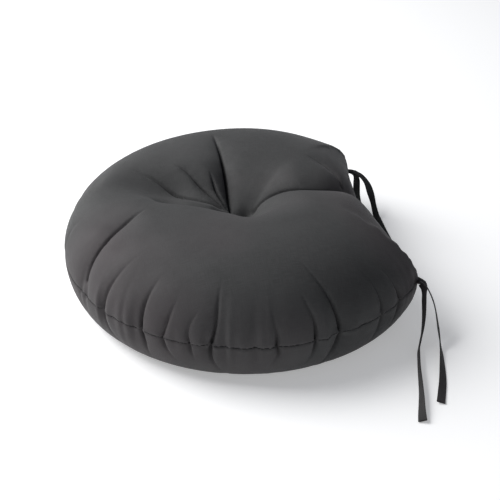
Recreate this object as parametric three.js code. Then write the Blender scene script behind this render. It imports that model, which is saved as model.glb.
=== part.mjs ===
// Round, tufted floor cushion with one straight side and a tie at each end of it.
// Millimetres, +Z up. The origin is on the floor under the middle of the cover's length
// and width, +Y points at the straight side, and the ties leave its two ends.
import * as THREE from 'three';

// ---- driving dimensions -------------------------------------------------------------
const RADIUS = 225; // of the round edge, measured at the seam
const CORNER_ANGLE = THREE.MathUtils.degToRad(37.5); // from +Y to each end of the straight side
const SEAM_HEIGHT = 56; // of the seam above the floor
const CROWN = 76; // highest ring of the top panel above the seam
const CROWN_AT = 0.42; // where that ring lies, as a share of the way to the seam
const TOP_DIMPLE = 53; // depth of the tuft below the crown
const BOTTOM_DIMPLE = 18; // depth of the tuft on the underside
const BOTTOM_DIMPLE_AT = 0.24; // where the underside comes down to the floor
const FLAT_TO = 0.76; // where the underside leaves the floor again
const WALL = 1.2; // fabric with the filling's fibres that cling to it
const SEAM_GAP = 2; // between the two seam allowances
const ALLOWANCE = 8; // width of each seam allowance, turned inwards
const CLEARANCE = 0.3; // between pieces that touch
const FILLING_CLEARANCE = 1.5; // between the filling and the cover
const CORD_DIAMETER = 2; // tuft cord
const THREAD_DIAMETER = 1;
const THREAD_INSET = 4; // of the stitching from the cut edges' fold
const CLOSING_ANGLE = THREE.MathUtils.degToRad(15); // half of the stretch closed after filling
const CLOSING_MIDDLE = THREE.MathUtils.degToRad(102); // from +Y, clockwise seen from above
const TAPE_WIDTH = 10;
const TAPE_THICKNESS = 1;
const FOLD_OUTSIDE = 5.5; // how far the tie's folded middle stands out of the corner
const FOLD_INSIDE = 7; // how far it reaches in between the panels

const TURN_STEPS = 48; // segments round the cushion; the corners fall on two of them
const FULL_TURN = 2 * Math.PI;

// The round edge's middle, where the tuft is, lies this far from the origin along +Y.
const TUFT_Y = (RADIUS * (1 - Math.cos(CORNER_ANGLE))) / 2;

// ---- materials ----------------------------------------------------------------------
function fabric(color, roughness) {
  return new THREE.MeshStandardMaterial({ color, roughness, metalness: 0 });
}
const coverFabric = fabric(0x454545, 0.8);
const tieFabric = fabric(0x2c2e31, 0.8);
const threadMaterial = fabric(0x1d1e20, 0.7);
const fillingMaterial = fabric(0xe9e7e1, 0.95);

// ---- the outline: a circle cut by the straight side ----------------------------------
// The angle is measured from +Y. The share is the seam's distance over the radius.
function outlineShare(angle) {
  const fromY = Math.abs(Math.atan2(Math.sin(angle), Math.cos(angle)));
  const onStraightSide = fromY < CORNER_ANGLE;
  return onStraightSide ? Math.cos(CORNER_ANGLE) / Math.cos(fromY) : 1;
}

// Near the tuft the rings are round, and they take the outline's shape towards the seam.
function ringShare(angle, radius) {
  return 1 + (outlineShare(angle) - 1) * Math.min(radius / RADIUS, 1);
}

function outlinePoint(angle, radius, height) {
  const distance = radius * ringShare(angle, radius);
  const y = TUFT_Y + Math.cos(angle) * distance;
  return new THREE.Vector3(Math.sin(angle) * distance, y, height);
}

// A body turned about the Z axis from a closed profile, then fitted to the outline.
function turnedSolid(profile) {
  const closed = [...profile, profile[0].clone()];
  const geometry = new THREE.LatheGeometry(closed, TURN_STEPS);
  geometry.rotateX(Math.PI / 2);
  const position = geometry.getAttribute('position');
  for (let i = 0; i < position.count; i += 1) {
    const x = position.getX(i);
    const y = position.getY(i);
    const share = ringShare(Math.atan2(x, y), Math.hypot(x, y));
    position.setXY(i, x * share, y * share + TUFT_Y);
  }
  return geometry;
}

// ---- profiles of the cover, from the middle outwards ----------------------------------
const DIMPLE_STEPS = 5;
const SHOULDER_STEPS = 7;
const DIMPLE_POWER = 1.6;
const TOP_SHOULDER_POWER = 2.4;
const BOTTOM_SHOULDER_POWER = 2.2;
const CORD_HOLE = CORD_DIAMETER / 2 + CLEARANCE;
const TUFT_FLOOR = 6; // radius of the small flat that the tuft's stitch and knot press on

function shoulderShares(step, power) {
  const angle = (step / SHOULDER_STEPS) * (Math.PI / 2);
  return { out: Math.sin(angle) ** (2 / power), up: Math.cos(angle) };
}

// The top surface, moved inwards by the inset. It ends straight above the seam.
function topProfile(inset, endHeight) {
  const at = (share) => TUFT_FLOOR + (RADIUS - inset - TUFT_FLOOR) * share;
  const bottomOfDimple = SEAM_HEIGHT + CROWN - TOP_DIMPLE - inset;
  const points = [new THREE.Vector2(CORD_HOLE, bottomOfDimple)];
  for (let step = 0; step < DIMPLE_STEPS; step += 1) {
    const share = step / DIMPLE_STEPS;
    const rise = TOP_DIMPLE * (1 - (1 - share) ** DIMPLE_POWER);
    points.push(new THREE.Vector2(at(CROWN_AT * share), bottomOfDimple + rise));
  }
  const crown = SEAM_HEIGHT + CROWN - inset - endHeight;
  for (let step = 0; step <= SHOULDER_STEPS; step += 1) {
    const { out, up } = shoulderShares(step, TOP_SHOULDER_POWER);
    points.push(new THREE.Vector2(at(CROWN_AT + (1 - CROWN_AT) * out), endHeight + crown * up));
  }
  return points;
}

// The underside, in the same way: dimple, flat ring on the floor, then up to the seam.
function bottomProfile(inset, endHeight) {
  const at = (share) => TUFT_FLOOR + (RADIUS - inset - TUFT_FLOOR) * share;
  const points = [new THREE.Vector2(CORD_HOLE, BOTTOM_DIMPLE + inset)];
  for (let step = 0; step <= DIMPLE_STEPS; step += 1) {
    const share = step / DIMPLE_STEPS;
    const rise = BOTTOM_DIMPLE * (1 - share) ** DIMPLE_POWER;
    points.push(new THREE.Vector2(at(BOTTOM_DIMPLE_AT * share), rise + inset));
  }
  for (let step = 0; step <= SHOULDER_STEPS; step += 1) {
    const { out, up } = shoulderShares(step, BOTTOM_SHOULDER_POWER);
    const height = inset + (endHeight - inset) * (1 - up);
    points.push(new THREE.Vector2(at(FLAT_TO + (1 - FLAT_TO) * out), height));
  }
  return points;
}

// ---- cover panels -------------------------------------------------------------------
const TOP_ALLOWANCE_Z = SEAM_HEIGHT + SEAM_GAP / 2;
const BOTTOM_ALLOWANCE_Z = SEAM_HEIGHT - SEAM_GAP / 2;

function topPanel() {
  const outer = topProfile(0, TOP_ALLOWANCE_Z);
  const inner = topProfile(WALL, TOP_ALLOWANCE_Z + WALL);
  const allowanceEdge = [
    new THREE.Vector2(RADIUS - ALLOWANCE, TOP_ALLOWANCE_Z),
    new THREE.Vector2(RADIUS - ALLOWANCE, TOP_ALLOWANCE_Z + WALL),
  ];
  return turnedSolid([...outer, ...allowanceEdge, ...inner.reverse()].reverse());
}

function bottomPanel() {
  const outer = bottomProfile(0, BOTTOM_ALLOWANCE_Z);
  const inner = bottomProfile(WALL, BOTTOM_ALLOWANCE_Z - WALL);
  const allowanceEdge = [
    new THREE.Vector2(RADIUS - ALLOWANCE, BOTTOM_ALLOWANCE_Z),
    new THREE.Vector2(RADIUS - ALLOWANCE, BOTTOM_ALLOWANCE_Z - WALL),
  ];
  return turnedSolid([...outer, ...allowanceEdge, ...inner.reverse()]);
}

// ---- filling, with the channel that the tuft cord pulls through it ---------------------
function filling() {
  const inset = WALL + FILLING_CLEARANCE;
  const seamInset = ALLOWANCE + FILLING_CLEARANCE;
  const inside = (point) => point.x < RADIUS - seamInset;
  const top = topProfile(inset, TOP_ALLOWANCE_Z + inset).filter(inside);
  const bottom = bottomProfile(inset, BOTTOM_ALLOWANCE_Z - inset).filter(inside);
  const waist = new THREE.Vector2(RADIUS - seamInset, SEAM_HEIGHT);
  return turnedSolid([...bottom, waist, ...top.reverse()]);
}

// ---- stitching ----------------------------------------------------------------------
const THREAD_SIDES = 6;
const CORNER_CLEAR = THREE.MathUtils.degToRad(5); // the tie is caught in the seam here

class SeamStretch extends THREE.Curve {
  constructor(from, to) {
    super();
    this.from = from;
    this.to = to;
  }

  getPoint(share, target = new THREE.Vector3()) {
    const angle = THREE.MathUtils.lerp(this.from, this.to, share);
    return target.copy(outlinePoint(angle, RADIUS - THREAD_INSET, SEAM_HEIGHT));
  }
}

function roundSection(diameter, sides) {
  const corners = [];
  for (let side = 0; side < sides; side += 1) {
    const angle = (side / sides) * FULL_TURN;
    corners.push(new THREE.Vector2(Math.cos(angle), Math.sin(angle)).multiplyScalar(diameter / 2));
  }
  return new THREE.Shape(corners);
}

function seamThread(from, to) {
  const steps = Math.ceil((Math.abs(to - from) / FULL_TURN) * TURN_STEPS);
  const path = new SeamStretch(from, to);
  return new THREE.ExtrudeGeometry(roundSection(THREAD_DIAMETER, THREAD_SIDES), {
    steps,
    extrudePath: path,
  });
}

// ---- tuft ---------------------------------------------------------------------------
const TUFT_TOP_Z = SEAM_HEIGHT + CROWN - TOP_DIMPLE;
const STITCH_SIZE = new THREE.Vector3(9, 3, 1.4);
const KNOT_RADIUS = 4;
const CORD_SIDES = 8;
const KNOT_SIDES = 12;

function tuftCord() {
  const length = TUFT_TOP_Z - BOTTOM_DIMPLE;
  const geometry = new THREE.CylinderGeometry(
    CORD_DIAMETER / 2, CORD_DIAMETER / 2, length, CORD_SIDES,
  );
  geometry.rotateX(Math.PI / 2);
  return geometry.translate(0, TUFT_Y, BOTTOM_DIMPLE + length / 2);
}

// The stitch crosses the cord's hole at the bottom of the dimple.
function topTuftStitch() {
  const { x, y, z } = STITCH_SIZE;
  return new THREE.BoxGeometry(x, y, z).translate(0, TUFT_Y, TUFT_TOP_Z + CLEARANCE + z / 2);
}

function bottomTuftKnot() {
  const geometry = new THREE.SphereGeometry(KNOT_RADIUS, KNOT_SIDES, KNOT_SIDES / 2);
  geometry.rotateX(Math.PI / 2);
  return geometry.translate(0, TUFT_Y, BOTTOM_DIMPLE - KNOT_RADIUS - CLEARANCE);
}

// ---- ties ---------------------------------------------------------------------------
// A flat tape that keeps its width level while it follows its route.
class TapeRoute extends THREE.CatmullRomCurve3 {
  constructor(points) {
    super(points, false, 'centripetal');
  }

  computeFrenetFrames(segments) {
    const frames = { tangents: [], normals: [], binormals: [] };
    const up = new THREE.Vector3(0, 0, 1);
    for (let i = 0; i <= segments; i += 1) {
      const tangent = this.getTangentAt(i / segments);
      const across = new THREE.Vector3().crossVectors(up, tangent).normalize();
      frames.tangents.push(tangent);
      frames.normals.push(across);
      frames.binormals.push(new THREE.Vector3().crossVectors(tangent, across));
    }
    return frames;
  }
}

function tapeSection() {
  const x = TAPE_WIDTH / 2;
  const y = TAPE_THICKNESS / 2;
  const edge = TAPE_THICKNESS / 4;
  return new THREE.Shape([
    new THREE.Vector2(x, -y + edge),
    new THREE.Vector2(x, y - edge),
    new THREE.Vector2(x - edge, y),
    new THREE.Vector2(-x + edge, y),
    new THREE.Vector2(-x, y - edge),
    new THREE.Vector2(-x, -y + edge),
    new THREE.Vector2(-x + edge, -y),
    new THREE.Vector2(x - edge, -y),
  ]);
}

function tape(points, steps) {
  const path = new TapeRoute(points);
  return new THREE.ExtrudeGeometry(tapeSection(), { steps, extrudePath: path });
}

// The middle of the tie is folded and sewn in between the panels at the corner. Inside, it
// lies half way between the corner's own direction and the tie's.
function tieFold(corner, exitAngle) {
  const exit = new THREE.Vector3(Math.cos(exitAngle), Math.sin(exitAngle), 0);
  const outwards = new THREE.Vector3(Math.sin(corner), Math.cos(corner), 0);
  const inwards = outwards.add(exit).normalize().multiplyScalar(-FOLD_INSIDE);
  const root = outlinePoint(corner, RADIUS, SEAM_HEIGHT);
  const foldSteps = 8;
  return tape([
    root.clone().add(inwards),
    root.clone().addScaledVector(inwards, 1 / 2),
    root.clone().addScaledVector(exit, FOLD_OUTSIDE / 4),
    root.clone().addScaledVector(exit, FOLD_OUTSIDE),
  ], foldSteps);
}

const RIGHT_EXIT = THREE.MathUtils.degToRad(18); // from +X, the way the tie leaves the corner
const LEFT_EXIT = THREE.MathUtils.degToRad(45);
const TAIL_STEPS = 26;

// Middle line of each tail: out of the corner, down to the floor and along it.
// The lower tail of each tie comes first.
const ROUTES = {
  right_tie_tail_1: [
    [143.2, 203.7, 55.4], [148.5, 204.2, 53.9], [153.5, 203.2, 50.8], [159, 201.2, 46.8],
    [165.5, 199.2, 42], [172, 197.3, 36], [177.7, 195.4, 27], [183.6, 192.7, 17],
    [190.5, 188.5, 8], [201.3, 182.7, 2.5], [217, 177, 1], [234, 171.2, 1], [251, 166, 1],
    [267, 161, 1], [283, 155.6, 1], [298.3, 150.2, 1], [311.5, 146.2, 1],
  ],
  right_tie_tail_2: [
    [143.2, 203.7, 56.7], [148.5, 205.2, 56.3], [153.8, 206.8, 54.6], [159.5, 208.3, 51],
    [165.5, 209.6, 46], [171.5, 210.4, 40], [177.6, 210.8, 32], [183.5, 211, 23.5],
    [189.8, 211, 15], [197.5, 210.3, 7], [208.5, 207.6, 2.2], [223.5, 202.6, 1],
    [239.7, 196.9, 1], [256.2, 190.6, 1], [272, 183.5, 1], [288, 176, 1],
  ],
  left_tie_tail_1: [
    [-132.6, 206.1, 55.4], [-130.2, 208.5, 53.3], [-128.2, 209.8, 47.5], [-126.5, 210, 38.5],
    [-124.2, 209.9, 28], [-121.2, 210.9, 18], [-117, 213.1, 8.8], [-109, 215.8, 2.8],
    [-97, 217.3, 1], [-83, 217.6, 1], [-69, 217.2, 1], [-55, 216.7, 1], [-41, 216.2, 1],
    [-27, 215.7, 1], [-13, 215.2, 1], [1, 214.7, 1], [13, 214.2, 1],
  ],
  left_tie_tail_2: [
    [-132.6, 206.1, 56.7], [-129.6, 209.1, 56.1], [-126.8, 214.6, 53.3], [-123.3, 219.8, 48],
    [-119.6, 223.8, 41], [-115, 226.6, 32], [-109.5, 228.8, 22], [-102.5, 230, 12],
    [-92.5, 230.4, 4], [-79, 229.8, 1], [-66, 228.8, 1], [-52, 228, 1], [-38, 227.5, 1],
    [-24, 227.2, 1], [-10, 227, 1], [4, 227, 1], [18, 227, 1],
  ],
};

// ---- assembly -----------------------------------------------------------------------
const cushion = new THREE.Group();

function addPiece(name, geometry, material) {
  const mesh = new THREE.Mesh(geometry, material);
  mesh.name = name;
  cushion.add(mesh);
}

const RIGHT_CORNER = CORNER_ANGLE;
const LEFT_CORNER = FULL_TURN - CORNER_ANGLE;
const CLOSING_START = CLOSING_MIDDLE - CLOSING_ANGLE;
const CLOSING_END = CLOSING_MIDDLE + CLOSING_ANGLE;
const THREAD_BREAK = THREE.MathUtils.degToRad(0.5);

addPiece('top_panel', topPanel(), coverFabric);
addPiece('bottom_panel', bottomPanel(), coverFabric);
addPiece('fibre_filling', filling(), fillingMaterial);

const seams = {
  seam_thread_right: [RIGHT_CORNER + CORNER_CLEAR, CLOSING_START - THREAD_BREAK],
  closing_thread: [CLOSING_START, CLOSING_END],
  seam_thread_left: [CLOSING_END + THREAD_BREAK, LEFT_CORNER - CORNER_CLEAR],
  seam_thread_straight: [CORNER_CLEAR - CORNER_ANGLE, CORNER_ANGLE - CORNER_CLEAR],
};
for (const [name, [from, to]] of Object.entries(seams)) {
  addPiece(name, seamThread(from, to), threadMaterial);
}

addPiece('tuft_cord', tuftCord(), threadMaterial);
addPiece('top_tuft_stitch', topTuftStitch(), threadMaterial);
addPiece('bottom_tuft_knot', bottomTuftKnot(), threadMaterial);

addPiece('right_tie_fold', tieFold(RIGHT_CORNER, RIGHT_EXIT), tieFabric);
addPiece('left_tie_fold', tieFold(LEFT_CORNER, LEFT_EXIT), tieFabric);
for (const [name, route] of Object.entries(ROUTES)) {
  const points = route.map(([x, y, z]) => new THREE.Vector3(x, y, z));
  addPiece(name, tape(points, TAIL_STEPS), tieFabric);
}

export default cushion;
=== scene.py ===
# A round tufted floor cushion with one straight side and a tie at each end of it.
# Metres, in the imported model's frame: +Z up, and +Y points at the straight side.
import math

import bmesh
import bpy
import numpy as np
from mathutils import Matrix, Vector
from mathutils.geometry import delaunay_2d_cdt
from mathutils.kdtree import KDTree


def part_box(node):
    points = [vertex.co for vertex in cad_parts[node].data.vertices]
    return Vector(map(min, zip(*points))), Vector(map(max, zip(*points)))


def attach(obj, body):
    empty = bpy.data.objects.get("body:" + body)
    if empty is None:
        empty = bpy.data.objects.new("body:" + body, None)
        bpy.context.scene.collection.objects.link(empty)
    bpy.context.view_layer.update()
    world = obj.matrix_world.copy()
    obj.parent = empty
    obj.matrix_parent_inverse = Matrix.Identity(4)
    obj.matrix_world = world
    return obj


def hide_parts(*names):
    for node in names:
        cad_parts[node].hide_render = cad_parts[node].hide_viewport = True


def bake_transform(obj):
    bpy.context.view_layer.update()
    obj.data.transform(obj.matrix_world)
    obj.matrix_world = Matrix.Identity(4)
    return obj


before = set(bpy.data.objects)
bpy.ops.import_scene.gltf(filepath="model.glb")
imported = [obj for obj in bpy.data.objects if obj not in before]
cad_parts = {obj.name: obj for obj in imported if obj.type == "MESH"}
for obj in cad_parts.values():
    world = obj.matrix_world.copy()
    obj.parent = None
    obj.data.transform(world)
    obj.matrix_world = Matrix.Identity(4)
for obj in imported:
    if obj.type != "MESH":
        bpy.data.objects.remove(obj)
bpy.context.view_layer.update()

MM = 0.001

# ---- sizes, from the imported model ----
COVER_LOW, COVER_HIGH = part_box("bottom_panel")
RADIUS = (COVER_HIGH.x - COVER_LOW.x) / 2
CORNER_ANGLE = math.radians(37.5)  # from +Y to each end of the straight side
TUFT_Y = COVER_LOW.y + RADIUS  # the round edge's middle, where the tuft is
SEAM_Z = (COVER_HIGH.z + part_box("top_panel")[0].z) / 2
CROWN_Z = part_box("top_panel")[1].z
TUFT_TOP_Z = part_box("tuft_cord")[1].z
TUFT_BOTTOM_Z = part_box("tuft_cord")[0].z

# ---- camera ----
VIEW_AZIMUTH = math.radians(77.8)
VIEW_ELEVATION = math.radians(32.2)
VIEW_DISTANCE = 1.255
VIEW_CENTRE = Vector((0, TUFT_Y, 0.060))
AIM_RIGHT, AIM_UP = 0.0053, -0.0198  # from the view's centre to the point aimed at
LENS_MM = 72


def add_camera():
    back = Vector((
        math.sin(VIEW_AZIMUTH) * math.cos(VIEW_ELEVATION),
        -math.cos(VIEW_AZIMUTH) * math.cos(VIEW_ELEVATION),
        math.sin(VIEW_ELEVATION),
    ))
    right = Vector((math.cos(VIEW_AZIMUTH), math.sin(VIEW_AZIMUTH), 0))
    up = back.cross(right)
    data = bpy.data.cameras.new("camera")
    data.lens = LENS_MM
    camera = bpy.data.objects.new("camera", data)
    bpy.context.collection.objects.link(camera)
    camera.location = VIEW_CENTRE + back * VIEW_DISTANCE
    aim = VIEW_CENTRE + right * AIM_RIGHT + up * AIM_UP
    camera.rotation_mode = "QUATERNION"
    camera.rotation_quaternion = (aim - camera.location).to_track_quat("-Z", "Y")
    bpy.context.scene.camera = camera


add_camera()


# ---- helpers for lines and meshes ----
def unit(vectors):
    return vectors / np.linalg.norm(vectors, axis=-1, keepdims=True)


def lengths_along(points):
    steps = np.linalg.norm(np.diff(points, axis=0), axis=1)
    return np.concatenate([[0], np.cumsum(steps)])


def at_lengths(points, wanted):
    along = lengths_along(points)
    return np.stack([np.interp(wanted, along, axis) for axis in points.T], axis=1)


def resampled(points, step):
    """The line with its points evenly spaced, about step apart."""
    length = lengths_along(points)[-1]
    return at_lengths(points, np.linspace(0, length, max(int(round(length / step)), 2) + 1))


def smooth_curve(points, per_span=24):
    """A centripetal Catmull-Rom line through the points."""
    padded = np.vstack([2 * points[0] - points[1], points, 2 * points[-1] - points[-2]])
    curve = []
    for p0, p1, p2, p3 in zip(padded, padded[1:], padded[2:], padded[3:]):
        t1 = math.sqrt(np.linalg.norm(p1 - p0))
        t2 = t1 + math.sqrt(np.linalg.norm(p2 - p1))
        t3 = t2 + math.sqrt(np.linalg.norm(p3 - p2))
        for t in np.linspace(t1, t2, per_span, endpoint=False):
            a1 = p0 + (p1 - p0) * t / t1
            a2 = p1 + (p2 - p1) * (t - t1) / (t2 - t1)
            a3 = p2 + (p3 - p2) * (t - t2) / (t3 - t2)
            b1 = a1 + (a2 - a1) * t / t2
            b2 = a2 + (a3 - a2) * (t - t1) / (t3 - t1)
            curve.append(b1 + (b2 - b1) * (t - t1) / (t2 - t1))
    curve.append(points[-1])
    return np.array(curve)


def add_object(name, vertices, faces, material=None, uv=None):
    """uv is one pair for each vertex."""
    mesh = bpy.data.meshes.new(name)
    mesh.from_pydata(np.asarray(vertices).tolist(), [], [list(map(int, f)) for f in faces])
    mesh.update()
    mesh.polygons.foreach_set("use_smooth", [True] * len(mesh.polygons))
    if material is not None:
        mesh.materials.append(material)
    if uv is not None:
        corners = read_values(mesh.loops, "vertex_index", 1, int)[:, 0]
        mesh.uv_layers.new(name="cloth").data.foreach_set("uv", np.asarray(uv)[corners].ravel())
    piece = bpy.data.objects.new(name, mesh)
    bpy.context.collection.objects.link(piece)
    return piece


def apply_modifiers(piece):
    graph = bpy.context.evaluated_depsgraph_get()
    mesh = bpy.data.meshes.new_from_object(piece.evaluated_get(graph))
    piece.modifiers.clear()
    piece.data = mesh


def read_values(items, name, width, kind=float):
    """One row of values for each vertex, edge or corner."""
    values = np.empty(len(items) * width, kind)
    items.foreach_get(name, values)
    return values.reshape(-1, width)


def vertex_positions(mesh):
    return read_values(mesh.vertices, "co", 3)


def vertex_normals(mesh):
    return read_values(mesh.vertices, "normal", 3)


def edge_ends(mesh):
    return read_values(mesh.edges, "vertices", 2, int)


def neighbour_mean(values, ends):
    """Each vertex's mean over the vertices that it shares an edge with."""
    total = np.zeros_like(values)
    count = np.zeros(len(values))
    for here, there in ((ends[:, 0], ends[:, 1]), (ends[:, 1], ends[:, 0])):
        np.add.at(total, here, values[there])
        np.add.at(count, here, 1)
    return total / count.reshape(-1, *[1] * (values.ndim - 1))


# ---- materials ----
class Nodes:
    """Short names for the nodes of one material."""

    def __init__(self, name):
        self.material = bpy.data.materials.new(name)
        self.material.use_nodes = True
        self.tree = self.material.node_tree
        self.shader = self.tree.nodes["Principled BSDF"]

    def put(self, node, inputs):
        """A colour or number sets an input, and another node's output is linked to it."""
        for name, value in inputs.items():
            if isinstance(value, bpy.types.NodeSocket):
                self.tree.links.new(value, node.inputs[name])
            else:
                node.inputs[name].default_value = value

    def make(self, kind, inputs, **settings):
        made = self.tree.nodes.new(kind)
        for name, value in settings.items():
            setattr(made, name, value)
        self.put(made, inputs)
        return made

    def coordinates(self, name):
        return self.make("ShaderNodeTexCoord", {}).outputs[name]

    def stretched(self, vector, scale):
        return self.make("ShaderNodeMapping", {"Vector": vector, "Scale": scale}).outputs["Vector"]

    def noise(self, vector, scale, detail=2.0, roughness=0.5):
        inputs = {"Vector": vector, "Scale": scale, "Detail": detail, "Roughness": roughness}
        return self.make("ShaderNodeTexNoise", inputs).outputs["Fac"]

    def ranged(self, value, low, high, to_low, to_high):
        inputs = {"Value": value, "From Min": low, "From Max": high, "To Min": to_low, "To Max": to_high}
        return self.make("ShaderNodeMapRange", inputs).outputs["Result"]

    def calculated(self, operation, first, second):
        return self.make("ShaderNodeMath", {0: first, 1: second}, operation=operation).outputs["Value"]

    def mixed(self, share, first, second):
        mix = self.make("ShaderNodeMix", {"Factor": share, 6: first, 7: second}, data_type="RGBA")
        return mix.outputs[2]

    def bumped(self, height, distance, strength, normal=None):
        inputs = {"Height": height, "Distance": distance, "Strength": strength}
        if normal is not None:
            inputs["Normal"] = normal
        return self.make("ShaderNodeBump", inputs).outputs["Normal"]

    def attribute(self, name):
        return self.make("ShaderNodeAttribute", {}, attribute_name=name).outputs["Fac"]


def grey(level):
    return (level, level, level, 1)


def woven_threads(nodes, cloth, pitch):
    """The over and under of a plain weave: bands along the cloth times bands across it."""
    bands = []
    for direction in ("X", "Y"):
        inputs = {"Vector": cloth, "Scale": 0.1 * math.pi / pitch, "Distortion": 0.5, "Detail": 1.0}
        wave = nodes.make("ShaderNodeTexWave", inputs, wave_type="BANDS", bands_direction=direction)
        bands.append(wave.outputs["Fac"])
    return nodes.calculated("MULTIPLY", *bands)


def woven_fabric(name, level, pitch, sheen, contrast=0.16):
    """Matt plain weave: single threads, uneven yarn and soft patches, with paler ridges, partly wear and
    partly painted highlight, and painted shade darkening the creases.
    """
    nodes = Nodes(name)
    cloth = nodes.coordinates("UV")
    place = nodes.coordinates("Object")

    patches = nodes.ranged(nodes.noise(place, 8.0, 3.0), 0.36, 0.64, 0.0, 1.0)
    colour = nodes.mixed(patches, grey(level * (1 - contrast)), grey(level * (1 + contrast)))
    reddish = nodes.ranged(nodes.noise(place, 4.0, 2.0), 0.48, 0.66, 0.0, 0.6)
    colour = nodes.mixed(reddish, colour, (level * 1.25, level * 0.97, level * 1.05, 1))
    along = nodes.noise(nodes.stretched(cloth, (70.0, 1500.0, 1.0)), 1.0, 1.0)
    across = nodes.noise(nodes.stretched(cloth, (1500.0, 70.0, 1.0)), 1.0, 1.0)
    slubs = nodes.ranged(nodes.calculated("ADD", along, across), 0.8, 1.25, 0.0, 0.4)
    colour = nodes.mixed(slubs, colour, grey(level * 1.5))
    fold = nodes.attribute("fold")
    # Paler on ridges: partly wear, partly painted highlight.
    colour = nodes.mixed(nodes.ranged(fold, 0.10, 1.0, 0.0, 0.55), colour, grey(level * 1.9))
    # Darker in valleys and creases: painted shade.
    colour = nodes.mixed(nodes.ranged(fold, -1.0, -0.08, 0.9, 0.0), colour, grey(level * 0.25))

    rough = nodes.ranged(nodes.noise(place, 30.0), 0.3, 0.7, 0.68, 0.84)
    threads = nodes.bumped(woven_threads(nodes, cloth, pitch), 0.15 * MM, 0.5)
    normal = nodes.bumped(nodes.noise(place, 60.0, 4.0, 0.6), 0.8 * MM, 0.3, threads)
    nodes.put(nodes.shader, {
        "Base Color": colour, "Roughness": rough, "Normal": normal, "Sheen Weight": sheen,
        "Sheen Roughness": 0.5, "Specular IOR Level": 0.25,
    })
    return nodes.material


def spun_thread(name, level):
    """Sewing thread: the twist shows as slanting ridges, with a slight shine."""
    nodes = Nodes(name)
    cloth = nodes.coordinates("UV")
    inputs = {"Vector": cloth, "Scale": 400.0, "Distortion": 0.3}
    twist = nodes.make("ShaderNodeTexWave", inputs, bands_direction="DIAGONAL").outputs["Fac"]
    colour = nodes.mixed(twist, grey(level * 0.7), grey(level * 1.4))
    rough = nodes.ranged(nodes.noise(nodes.coordinates("Object"), 200.0), 0.3, 0.7, 0.5, 0.65)
    normal = nodes.bumped(twist, 0.1 * MM, 0.6)
    nodes.put(nodes.shader, {"Base Color": colour, "Roughness": rough, "Normal": normal})
    return nodes.material


def loose_fibre(name):
    """Polyester filling: fine curling fibres, clumped, off white."""
    nodes = Nodes(name)
    place = nodes.coordinates("Object")
    clumps = nodes.ranged(nodes.noise(place, 40.0, 4.0, 0.7), 0.3, 0.7, 0.0, 1.0)
    colour = nodes.mixed(clumps, (0.66, 0.64, 0.60, 1), (0.84, 0.83, 0.80, 1))
    rough = nodes.ranged(clumps, 0.0, 1.0, 0.85, 0.95)
    fibres = nodes.noise(nodes.stretched(place, (900.0, 250.0, 400.0)), 1.0, 3.0, 0.7)
    normal = nodes.bumped(fibres, 0.5 * MM, 0.8)
    nodes.put(nodes.shader, {
        "Base Color": colour, "Roughness": rough, "Normal": normal, "Sheen Weight": 0.4,
    })
    return nodes.material


COVER_CLOTH = woven_fabric("cover_cloth", level=0.044, pitch=0.8 * MM, sheen=0.06)
TIE_CLOTH = woven_fabric("tie_cloth", level=0.028, pitch=0.7 * MM, sheen=0.05)
THREAD = spun_thread("thread", level=0.012)
FIBRE = loose_fibre("fibre")

# ---- ties ----
# Middle line of each tail, in millimetres: out of the corner, down to the floor, along it.
TIE_ROUTES = {
    "right_tie_tail_1": (
        (143.2, 203.7, 55.4), (148.5, 204.2, 53.9), (153.5, 203.2, 50.8), (159, 201.2, 46.8),
        (165.5, 199.2, 42), (172, 197.3, 36), (177.7, 195.4, 27), (183.6, 192.7, 17),
        (190.5, 188.5, 8), (201.3, 182.7, 2.5), (217, 177, 1), (234, 171.2, 1), (251, 166, 1),
        (267, 161, 1), (283, 155.6, 1), (298.3, 150.2, 1), (311.5, 146.2, 1),
    ),
    "right_tie_tail_2": (
        (143.2, 203.7, 56.7), (148.5, 205.2, 56.3), (153.8, 206.8, 54.6), (159.5, 208.3, 51),
        (165.5, 209.6, 46), (171.5, 210.4, 40), (177.6, 210.8, 32), (183.5, 211, 23.5),
        (189.8, 211, 15), (197.5, 210.3, 7), (208.5, 207.6, 2.2), (223.5, 202.6, 1),
        (239.7, 196.9, 1), (256.2, 190.6, 1), (272, 183.5, 1), (288, 176, 1),
    ),
    "left_tie_tail_1": (
        (-132.6, 206.1, 55.4), (-130.2, 208.5, 53.3), (-128.2, 209.8, 47.5), (-126.5, 210, 38.5),
        (-124.2, 209.9, 28), (-121.2, 210.9, 18), (-117, 213.1, 8.8), (-109, 215.8, 2.8),
        (-97, 217.3, 1), (-83, 217.6, 1), (-69, 217.2, 1), (-55, 216.7, 1), (-41, 216.2, 1),
        (-27, 215.7, 1), (-13, 215.2, 1), (1, 214.7, 1), (13, 214.2, 1),
    ),
    "left_tie_tail_2": (
        (-132.6, 206.1, 56.7), (-129.6, 209.1, 56.1), (-126.8, 214.6, 53.3), (-123.3, 219.8, 48),
        (-119.6, 223.8, 41), (-115, 226.6, 32), (-109.5, 228.8, 22), (-102.5, 230, 12),
        (-92.5, 230.4, 4), (-79, 229.8, 1), (-66, 228.8, 1), (-52, 228, 1), (-38, 227.5, 1),
        (-24, 227.2, 1), (-10, 227, 1), (4, 227, 1), (18, 227, 1),
    ),
}
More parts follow.
